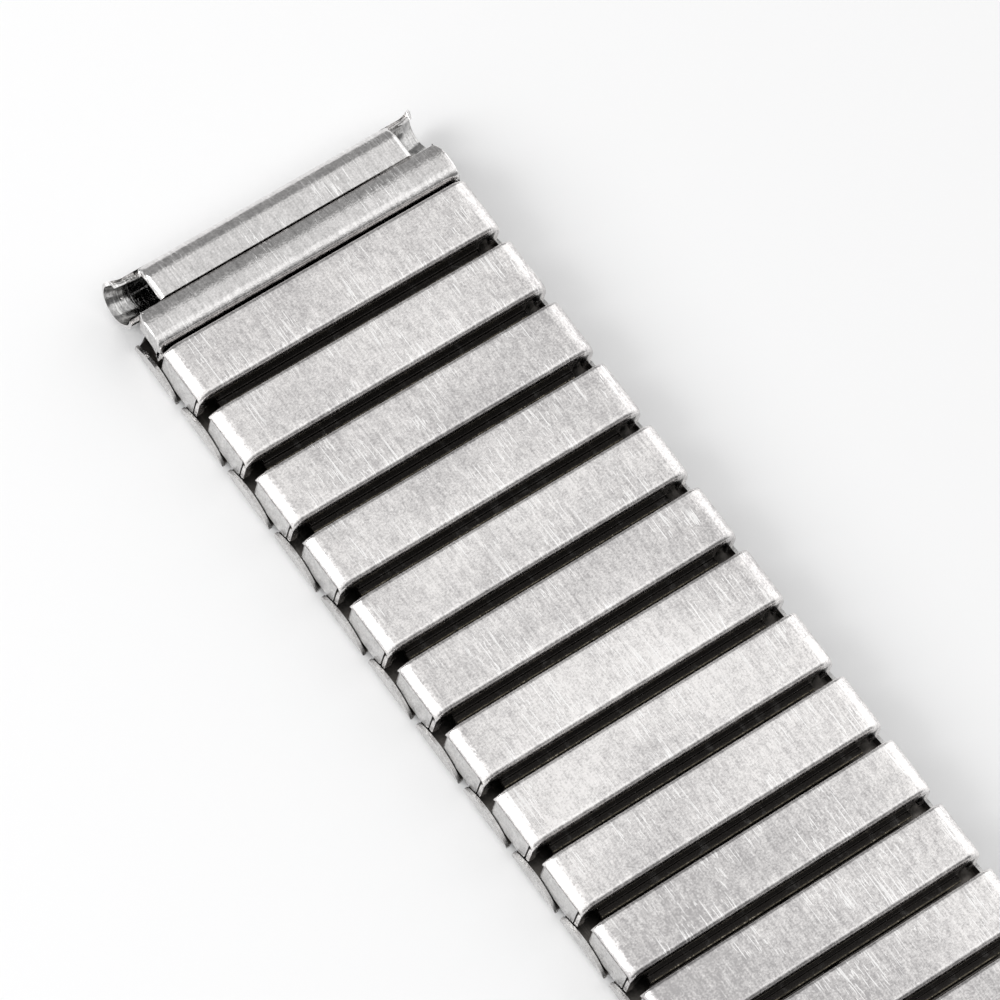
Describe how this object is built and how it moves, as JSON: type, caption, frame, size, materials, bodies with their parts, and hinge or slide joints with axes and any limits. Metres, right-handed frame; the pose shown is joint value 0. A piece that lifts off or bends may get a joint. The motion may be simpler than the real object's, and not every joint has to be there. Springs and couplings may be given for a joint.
{
  "type": "expansion watch band",
  "caption": "Expansion watch band: two rows of folded steel links half a pitch apart, tied by bows and held by leaf springs, with a spring-bar roll at each end.",
  "frame": {"origin": "middle of the band, on the lowest face of the outer row", "axes": "+X along the band, from the pictured end to the other; +Y across it; +Z out of the wrist side, so the band lies with its worn outside down"},
  "size_m": [0.1266, 0.0206, 0.003],
  "materials": {
    "facing_steel": "brushed, lightly scratched",
    "outer_steel": "brushed",
    "end_steel": "satin, lightly scratched",
    "insert_steel": "mill finish"
  },
  "bodies": {
    "facing_link_01": {"facing_link_01": "facing_steel"},
    "facing_link_02": {"facing_link_02": "facing_steel"},
    "facing_link_03": {"facing_link_03": "facing_steel"},
    "facing_link_04": {"facing_link_04": "facing_steel"},
    "facing_link_05": {"facing_link_05": "facing_steel"},
    "facing_link_06": {"facing_link_06": "facing_steel"},
    "facing_link_07": {"facing_link_07": "facing_steel"},
    "facing_link_08": {"facing_link_08": "facing_steel"},
    "facing_link_09": {"facing_link_09": "facing_steel"},
    "facing_link_10": {"facing_link_10": "facing_steel"},
    "facing_link_11": {"facing_link_11": "facing_steel"},
    "facing_link_12": {"facing_link_12": "facing_steel"},
    "facing_link_13": {"facing_link_13": "facing_steel"},
    "facing_link_14": {"facing_link_14": "facing_steel"},
    "facing_link_15": {"facing_link_15": "facing_steel"},
    "facing_link_16": {"facing_link_16": "facing_steel"},
    "facing_link_17": {"facing_link_17": "facing_steel"},
    "facing_link_18": {"facing_link_18": "facing_steel"},
    "facing_link_19": {"facing_link_19": "facing_steel"},
    "facing_link_20": {"facing_link_20": "facing_steel"},
    "facing_link_21": {"facing_link_21": "facing_steel"},
    "facing_link_22": {"facing_link_22": "facing_steel"},
    "facing_link_23": {"facing_link_23": "facing_steel"},
    "facing_link_24": {"facing_link_24": "facing_steel"},
    "facing_link_25": {"facing_link_25": "facing_steel"},
    "facing_link_26": {"facing_link_26": "facing_steel"},
    "facing_link_27": {"facing_link_27": "facing_steel"},
    "outer_link_00": {"outer_link_00": "outer_steel"},
    "outer_link_01": {"outer_link_01": "outer_steel"},
    "outer_link_02": {"outer_link_02": "outer_steel"},
    "outer_link_03": {"outer_link_03": "outer_steel"},
    "outer_link_04": {"outer_link_04": "outer_steel"},
    "outer_link_05": {"outer_link_05": "outer_steel"},
    "outer_link_06": {"outer_link_06": "outer_steel"},
    "outer_link_07": {"outer_link_07": "outer_steel"},
    "outer_link_08": {"outer_link_08": "outer_steel"},
    "outer_link_09": {"outer_link_09": "outer_steel"},
    "outer_link_10": {"outer_link_10": "outer_steel"},
    "outer_link_11": {"outer_link_11": "outer_steel"},
    "outer_link_12": {"outer_link_12": "outer_steel"},
    "outer_link_13": {"outer_link_13": "outer_steel"},
    "outer_link_14": {"outer_link_14": "outer_steel"},
    "outer_link_15": {"outer_link_15": "outer_steel"},
    "outer_link_16": {"outer_link_16": "outer_steel"},
    "outer_link_17": {"outer_link_17": "outer_steel"},
    "outer_link_18": {"outer_link_18": "outer_steel"},
    "outer_link_19": {"outer_link_19": "outer_steel"},
    "outer_link_20": {"outer_link_20": "outer_steel"},
    "outer_link_21": {"outer_link_21": "outer_steel"},
    "outer_link_22": {"outer_link_22": "outer_steel"},
    "outer_link_23": {"outer_link_23": "outer_steel"},
    "outer_link_24": {"outer_link_24": "outer_steel"},
    "outer_link_25": {"outer_link_25": "outer_steel"},
    "outer_link_26": {"outer_link_26": "outer_steel"},
    "outer_link_27": {"outer_link_27": "outer_steel"},
    "end_left": {"end_piece_left": "end_steel", "end_insert_left": "insert_steel"},
    "end_right": {"end_piece_right": "end_steel", "end_insert_right": "insert_steel"}
  },
  "joints": [
    {"name": "stretch", "type": "slide", "parent": "facing_link_14", "child": "outer_link_14", "axis": [1, 0, 0], "range_m": [0, 0.0012], "stiffness_N_per_m": 120},
    {"name": "curl_15", "type": "hinge", "parent": "outer_link_14", "child": "facing_link_15", "pos_m": [0.00339, 0, 0.00193], "axis": [0, -1, 0], "range_deg": [0, 10]},
    {"name": "stretch_15", "type": "slide", "parent": "facing_link_15", "child": "outer_link_15", "axis": [1, 0, 0], "range_m": [0, 0.0012]},
    {"name": "curl_16", "type": "hinge", "parent": "outer_link_15", "child": "facing_link_16", "pos_m": [0.00773, 0, 0.00193], "axis": [0, -1, 0], "range_deg": [0, 10]},
    {"name": "stretch_16", "type": "slide", "parent": "facing_link_16", "child": "outer_link_16", "axis": [1, 0, 0], "range_m": [0, 0.0012]},
    {"name": "curl_17", "type": "hinge", "parent": "outer_link_16", "child": "facing_link_17", "pos_m": [0.01207, 0, 0.00193], "axis": [0, -1, 0], "range_deg": [0, 10]},
    {"name": "stretch_17", "type": "slide", "parent": "facing_link_17", "child": "outer_link_17", "axis": [1, 0, 0], "range_m": [0, 0.0012]},
    {"name": "curl_18", "type": "hinge", "parent": "outer_link_17", "child": "facing_link_18", "pos_m": [0.01641, 0, 0.00193], "axis": [0, -1, 0], "range_deg": [0, 10]},
    {"name": "stretch_18", "type": "slide", "parent": "facing_link_18", "child": "outer_link_18", "axis": [1, 0, 0], "range_m": [0, 0.0012]},
    {"name": "curl_19", "type": "hinge", "parent": "outer_link_18", "child": "facing_link_19", "pos_m": [0.02075, 0, 0.00193], "axis": [0, -1, 0], "range_deg": [0, 10]},
    {"name": "stretch_19", "type": "slide", "parent": "facing_link_19", "child": "outer_link_19", "axis": [1, 0, 0], "range_m": [0, 0.0012]},
    {"name": "curl_20", "type": "hinge", "parent": "outer_link_19", "child": "facing_link_20", "pos_m": [0.02509, 0, 0.00193], "axis": [0, -1, 0], "range_deg": [0, 10]},
    {"name": "stretch_20", "type": "slide", "parent": "facing_link_20", "child": "outer_link_20", "axis": [1, 0, 0], "range_m": [0, 0.0012]},
    {"name": "curl_21", "type": "hinge", "parent": "outer_link_20", "child": "facing_link_21", "pos_m": [0.02943, 0, 0.00193], "axis": [0, -1, 0], "range_deg": [0, 10]},
    {"name": "stretch_21", "type": "slide", "parent": "facing_link_21", "child": "outer_link_21", "axis": [1, 0, 0], "range_m": [0, 0.0012]},
    {"name": "curl_22", "type": "hinge", "parent": "outer_link_21", "child": "facing_link_22", "pos_m": [0.03377, 0, 0.00193], "axis": [0, -1, 0], "range_deg": [0, 10]},
    {"name": "stretch_22", "type": "slide", "parent": "facing_link_22", "child": "outer_link_22", "axis": [1, 0, 0], "range_m": [0, 0.0012]},
    {"name": "curl_23", "type": "hinge", "parent": "outer_link_22", "child": "facing_link_23", "pos_m": [0.03811, 0, 0.00193], "axis": [0, -1, 0], "range_deg": [0, 10]},
    {"name": "stretch_23", "type": "slide", "parent": "facing_link_23", "child": "outer_link_23", "axis": [1, 0, 0], "range_m": [0, 0.0012]},
    {"name": "curl_24", "type": "hinge", "parent": "outer_link_23", "child": "facing_link_24", "pos_m": [0.04245, 0, 0.00193], "axis": [0, -1, 0], "range_deg": [0, 10]},
    {"name": "stretch_24", "type": "slide", "parent": "facing_link_24", "child": "outer_link_24", "axis": [1, 0, 0], "range_m": [0, 0.0012]},
    {"name": "curl_25", "type": "hinge", "parent": "outer_link_24", "child": "facing_link_25", "pos_m": [0.04679, 0, 0.00193], "axis": [0, -1, 0], "range_deg": [0, 10]},
    {"name": "stretch_25", "type": "slide", "parent": "facing_link_25", "child": "outer_link_25", "axis": [1, 0, 0], "range_m": [0, 0.0012]},
    {"name": "curl_26", "type": "hinge", "parent": "outer_link_25", "child": "facing_link_26", "pos_m": [0.05113, 0, 0.00193], "axis": [0, -1, 0], "range_deg": [0, 10]},
    {"name": "stretch_26", "type": "slide", "parent": "facing_link_26", "child": "outer_link_26", "axis": [1, 0, 0], "range_m": [0, 0.0012]},
    {"name": "curl_27", "type": "hinge", "parent": "outer_link_26", "child": "facing_link_27", "pos_m": [0.05547, 0, 0.00193], "axis": [0, -1, 0], "range_deg": [0, 10]},
    {"name": "stretch_27", "type": "slide", "parent": "facing_link_27", "child": "outer_link_27", "axis": [1, 0, 0], "range_m": [0, 0.0012]},
    {"name": "curl_28", "type": "hinge", "parent": "outer_link_27", "child": "end_right", "pos_m": [0.05916, 0, 0.00193], "axis": [0, -1, 0], "range_deg": [0, 10]},
    {"name": "curl", "type": "hinge", "parent": "facing_link_14", "child": "outer_link_13", "pos_m": [-0.00095, 0, 0.00193], "axis": [0, 1, 0], "range_deg": [0, 10]},
    {"name": "stretch_13", "type": "slide", "parent": "outer_link_13", "child": "facing_link_13", "axis": [-1, 0, 0], "range_m": [0, 0.0012]},
    {"name": "curl_13", "type": "hinge", "parent": "facing_link_13", "child": "outer_link_12", "pos_m": [-0.00529, 0, 0.00193], "axis": [0, 1, 0], "range_deg": [0, 10]},
    {"name": "stretch_12", "type": "slide", "parent": "outer_link_12", "child": "facing_link_12", "axis": [-1, 0, 0], "range_m": [0, 0.0012]},
    {"name": "curl_12", "type": "hinge", "parent": "facing_link_12", "child": "outer_link_11", "pos_m": [-0.00963, 0, 0.00193], "axis": [0, 1, 0], "range_deg": [0, 10]},
    {"name": "stretch_11", "type": "slide", "parent": "outer_link_11", "child": "facing_link_11", "axis": [-1, 0, 0], "range_m": [0, 0.0012]},
    {"name": "curl_11", "type": "hinge", "parent": "facing_link_11", "child": "outer_link_10", "pos_m": [-0.01397, 0, 0.00193], "axis": [0, 1, 0], "range_deg": [0, 10]},
    {"name": "stretch_10", "type": "slide", "parent": "outer_link_10", "child": "facing_link_10", "axis": [-1, 0, 0], "range_m": [0, 0.0012]},
    {"name": "curl_10", "type": "hinge", "parent": "facing_link_10", "child": "outer_link_09", "pos_m": [-0.01831, 0, 0.00193], "axis": [0, 1, 0], "range_deg": [0, 10]},
    {"name": "stretch_09", "type": "slide", "parent": "outer_link_09", "child": "facing_link_09", "axis": [-1, 0, 0], "range_m": [0, 0.0012]},
    {"name": "curl_09", "type": "hinge", "parent": "facing_link_09", "child": "outer_link_08", "pos_m": [-0.02265, 0, 0.00193], "axis": [0, 1, 0], "range_deg": [0, 10]},
    {"name": "stretch_08", "type": "slide", "parent": "outer_link_08", "child": "facing_link_08", "axis": [-1, 0, 0], "range_m": [0, 0.0012]},
    {"name": "curl_08", "type": "hinge", "parent": "facing_link_08", "child": "outer_link_07", "pos_m": [-0.02699, 0, 0.00193], "axis": [0, 1, 0], "range_deg": [0, 10]},
    {"name": "stretch_07", "type": "slide", "parent": "outer_link_07", "child": "facing_link_07", "axis": [-1, 0, 0], "range_m": [0, 0.0012]},
    {"name": "curl_07", "type": "hinge", "parent": "facing_link_07", "child": "outer_link_06", "pos_m": [-0.03133, 0, 0.00193], "axis": [0, 1, 0], "range_deg": [0, 10]},
    {"name": "stretch_06", "type": "slide", "parent": "outer_link_06", "child": "facing_link_06", "axis": [-1, 0, 0], "range_m": [0, 0.0012]},
    {"name": "curl_06", "type": "hinge", "parent": "facing_link_06", "child": "outer_link_05", "pos_m": [-0.03567, 0, 0.00193], "axis": [0, 1, 0], "range_deg": [0, 10]},
    {"name": "stretch_05", "type": "slide", "parent": "outer_link_05", "child": "facing_link_05", "axis": [-1, 0, 0], "range_m": [0, 0.0012]},
    {"name": "curl_05", "type": "hinge", "parent": "facing_link_05", "child": "outer_link_04", "pos_m": [-0.04001, 0, 0.00193], "axis": [0, 1, 0], "range_deg": [0, 10]},
    {"name": "stretch_04", "type": "slide", "parent": "outer_link_04", "child": "facing_link_04", "axis": [-1, 0, 0], "range_m": [0, 0.0012]},
    {"name": "curl_04", "type": "hinge", "parent": "facing_link_04", "child": "outer_link_03", "pos_m": [-0.04435, 0, 0.00193], "axis": [0, 1, 0], "range_deg": [0, 10]},
    {"name": "stretch_03", "type": "slide", "parent": "outer_link_03", "child": "facing_link_03", "axis": [-1, 0, 0], "range_m": [0, 0.0012]},
    {"name": "curl_03", "type": "hinge", "parent": "facing_link_03", "child": "outer_link_02", "pos_m": [-0.04869, 0, 0.00193], "axis": [0, 1, 0], "range_deg": [0, 10]},
    {"name": "stretch_02", "type": "slide", "parent": "outer_link_02", "child": "facing_link_02", "axis": [-1, 0, 0], "range_m": [0, 0.0012]},
    {"name": "curl_02", "type": "hinge", "parent": "facing_link_02", "child": "outer_link_01", "pos_m": [-0.05303, 0, 0.00193], "axis": [0, 1, 0], "range_deg": [0, 10]},
    {"name": "stretch_01", "type": "slide", "parent": "outer_link_01", "child": "facing_link_01", "axis": [-1, 0, 0], "range_m": [0, 0.0012]},
    {"name": "curl_01", "type": "hinge", "parent": "facing_link_01", "child": "outer_link_00", "pos_m": [-0.05737, 0, 0.00193], "axis": [0, 1, 0], "range_deg": [0, 10]},
    {"name": "stretch_00", "type": "slide", "parent": "outer_link_00", "child": "end_left", "axis": [-1, 0, 0], "range_m": [0, 0.0012]}
  ],
  "couplings": [
    {"joint": "curl_15", "follows": "curl", "ratio": 1},
    {"joint": "stretch_15", "follows": "stretch", "ratio": 1},
    {"joint": "curl_16", "follows": "curl", "ratio": 1},
    {"joint": "stretch_16", "follows": "stretch", "ratio": 1},
    {"joint": "curl_17", "follows": "curl", "ratio": 1},
    {"joint": "stretch_17", "follows": "stretch", "ratio": 1},
    {"joint": "curl_18", "follows": "curl", "ratio": 1},
    {"joint": "stretch_18", "follows": "stretch", "ratio": 1},
    {"joint": "curl_19", "follows": "curl", "ratio": 1},
    {"joint": "stretch_19", "follows": "stretch", "ratio": 1},
    {"joint": "curl_20", "follows": "curl", "ratio": 1},
    {"joint": "stretch_20", "follows": "stretch", "ratio": 1},
    {"joint": "curl_21", "follows": "curl", "ratio": 1},
    {"joint": "stretch_21", "follows": "stretch", "ratio": 1},
    {"joint": "curl_22", "follows": "curl", "ratio": 1},
    {"joint": "stretch_22", "follows": "stretch", "ratio": 1},
    {"joint": "curl_23", "follows": "curl", "ratio": 1},
    {"joint": "stretch_23", "follows": "stretch", "ratio": 1},
    {"joint": "curl_24", "follows": "curl", "ratio": 1},
    {"joint": "stretch_24", "follows": "stretch", "ratio": 1},
    {"joint": "curl_25", "follows": "curl", "ratio": 1},
    {"joint": "stretch_25", "follows": "stretch", "ratio": 1},
    {"joint": "curl_26", "follows": "curl", "ratio": 1},
    {"joint": "stretch_26", "follows": "stretch", "ratio": 1},
    {"joint": "curl_27", "follows": "curl", "ratio": 1},
    {"joint": "stretch_27", "follows": "stretch", "ratio": 1},
    {"joint": "curl_28", "follows": "curl", "ratio": 1},
    {"joint": "stretch_13", "follows": "stretch", "ratio": 1},
    {"joint": "curl_13", "follows": "curl", "ratio": 1},
    {"joint": "stretch_12", "follows": "stretch", "ratio": 1},
    {"joint": "curl_12", "follows": "curl", "ratio": 1},
    {"joint": "stretch_11", "follows": "stretch", "ratio": 1},
    {"joint": "curl_11", "follows": "curl", "ratio": 1},
    {"joint": "stretch_10", "follows": "stretch", "ratio": 1},
    {"joint": "curl_10", "follows": "curl", "ratio": 1},
    {"joint": "stretch_09", "follows": "stretch", "ratio": 1},
    {"joint": "curl_09", "follows": "curl", "ratio": 1},
    {"joint": "stretch_08", "follows": "stretch", "ratio": 1},
    {"joint": "curl_08", "follows": "curl", "ratio": 1},
    {"joint": "stretch_07", "follows": "stretch", "ratio": 1},
    {"joint": "curl_07", "follows": "curl", "ratio": 1},
    {"joint": "stretch_06", "follows": "stretch", "ratio": 1},
    {"joint": "curl_06", "follows": "curl", "ratio": 1},
    {"joint": "stretch_05", "follows": "stretch", "ratio": 1},
    {"joint": "curl_05", "follows": "curl", "ratio": 1},
    {"joint": "stretch_04", "follows": "stretch", "ratio": 1},
    {"joint": "curl_04", "follows": "curl", "ratio": 1},
    {"joint": "stretch_03", "follows": "stretch", "ratio": 1},
    {"joint": "curl_03", "follows": "curl", "ratio": 1},
    {"joint": "stretch_02", "follows": "stretch", "ratio": 1},
    {"joint": "curl_02", "follows": "curl", "ratio": 1},
    {"joint": "stretch_01", "follows": "stretch", "ratio": 1},
    {"joint": "curl_01", "follows": "curl", "ratio": 1},
    {"joint": "stretch_00", "follows": "stretch", "ratio": 1}
  ]
}
